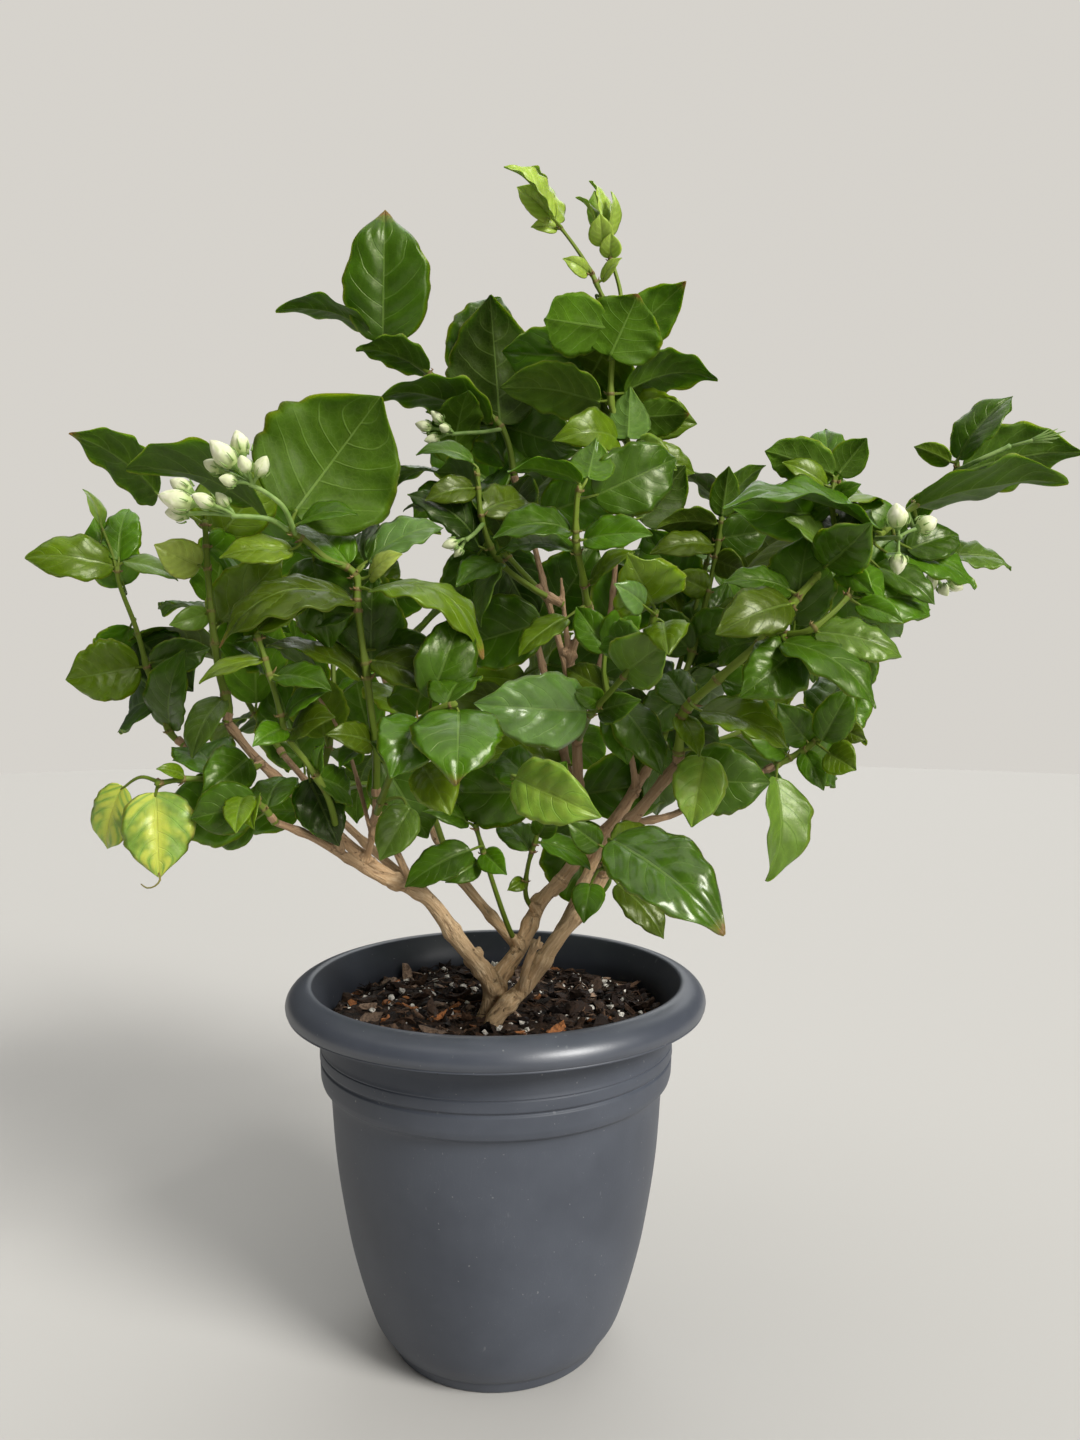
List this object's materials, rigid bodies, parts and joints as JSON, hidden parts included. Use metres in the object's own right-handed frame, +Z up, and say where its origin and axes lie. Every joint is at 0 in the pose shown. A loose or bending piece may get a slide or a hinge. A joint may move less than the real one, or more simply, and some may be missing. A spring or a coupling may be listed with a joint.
{
  "type": "potted jasmine",
  "caption": "Jasmine bush with woody branches, glossy leaves and cream flower buds, growing in a round grey plastic pot filled with soil.",
  "frame": {"origin": "centre of the pot's flat underside, on the surface it stands on", "axes": "+Z up along the pot's axis, -Y towards the side the picture shows, +X to that view's right"},
  "size_m": [0.5751, 0.3758, 0.6771],
  "materials": {
    "pot": "satin moulded plastic, slate grey, lightly scuffed",
    "soil": "crumbly dark potting mix with bark chips and white grains",
    "bark": "pale tan bark, rough and knobby",
    "leaf": "glossy leaf with a paler underside",
    "bud": "waxy cream petals in green sepals"
  },
  "bodies": {
    "root": {"cyme_far_right": "bud", "cyme_left": "bud", "cyme_left_upper": "bud", "cyme_middle": "bud", "cyme_right": "bud", "cyme_right_low": "bud", "cyme_top_left": "bud", "pot": "pot", "shoot_back_left": "leaf", "shoot_back_left_low": "leaf", "shoot_back_low": "leaf", "shoot_back_middle": "leaf", "shoot_back_right": "leaf", "shoot_back_right_low": "leaf", "shoot_centre": "leaf", "shoot_crest": "leaf", "shoot_far_right": "leaf", "shoot_front_left": "leaf", "shoot_front_low": "leaf", "shoot_front_middle": "leaf", "shoot_heart_left": "leaf", "shoot_heart_low": "leaf", "shoot_heart_middle": "leaf", "shoot_heart_right": "leaf", "shoot_left_drop": "leaf", "shoot_left_far": "leaf", "shoot_left_front": "leaf", "shoot_left_inner": "leaf", "shoot_left_low": "leaf", "shoot_left_tall": "leaf", "shoot_low_front": "leaf", "shoot_low_left": "leaf", "shoot_low_middle": "leaf", "shoot_middle_left": "leaf", "shoot_middle_low": "leaf", "shoot_right": "leaf", "shoot_right_inner": "leaf", "shoot_right_low": "leaf", "shoot_right_outer": "leaf", "shoot_right_top": "leaf", "shoot_right_under": "leaf", "shoot_side_left": "leaf", "shoot_top_left": "leaf", "soil": "soil", "wood": "bark"}
  },
  "joints": []
}
